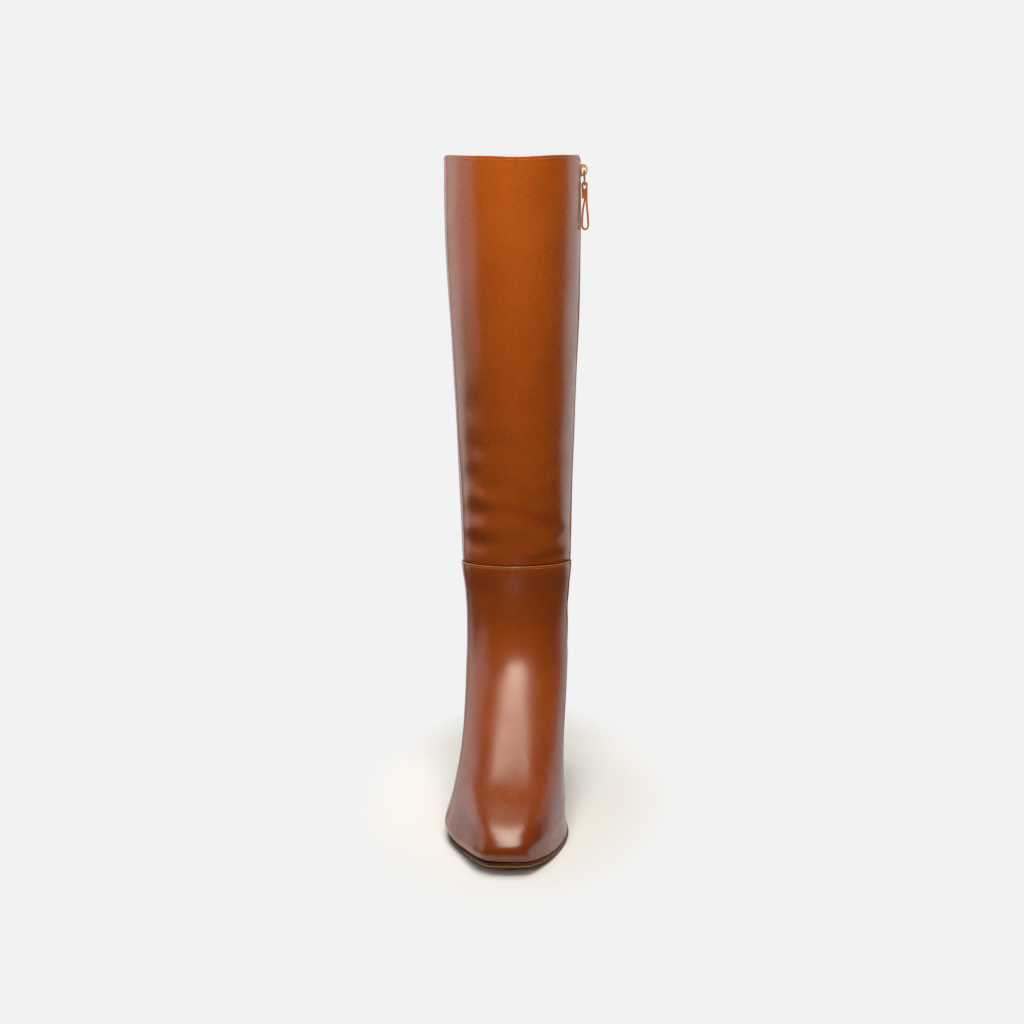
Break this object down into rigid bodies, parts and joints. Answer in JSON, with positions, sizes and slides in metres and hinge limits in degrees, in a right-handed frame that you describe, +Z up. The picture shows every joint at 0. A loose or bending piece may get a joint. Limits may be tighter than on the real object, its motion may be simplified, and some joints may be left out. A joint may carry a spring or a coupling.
{
  "type": "knee-high boot",
  "caption": "Knee-high zip boot for the right foot in smooth tan leather: hollow shaft and foot, thin leather sole, low stacked heel, inner side zip with a leather pull loop.",
  "frame": {"origin": "centre of the heel's bottom face, on the floor", "axes": "+Z up the shaft, -Y towards the toe, +X towards the inner (zip) side of this right boot"},
  "size_m": [0.0989, 0.2643, 0.4463],
  "materials": {
    "calf_leather": "smooth polished calf, tan",
    "pull_leather": "smooth strap leather with cut edges",
    "sole_leather": "stained and burnished edge",
    "heel_stack": "stacked leather lifts, burnished",
    "top_lift": "matt dark brown rubber",
    "lining_leather": "matt natural lining leather",
    "zip_tape": "woven brown tape",
    "zip_metal": "polished light gold"
  },
  "bodies": {
    "boot": {"outsole": "sole_leather", "heel": "heel_stack", "heel_top_lift": "top_lift", "insole": "lining_leather", "upper": "calf_leather", "shaft": "calf_leather", "zip_tape_front": "zip_tape", "zip_tape_back": "zip_tape", "zip_chain": "zip_metal", "zip_slider": "zip_metal"},
    "zip_pull": {"zip_pull_link": "zip_metal", "zip_pull_strap": "pull_leather"}
  },
  "joints": [
    {"name": "zip_pull_swing", "type": "hinge", "parent": "boot", "child": "zip_pull", "pos_m": [0.04919, -0.0213, 0.43712], "axis": [-0.0006, -0.9998, -0.0197], "range_deg": [0, 165]}
  ]
}
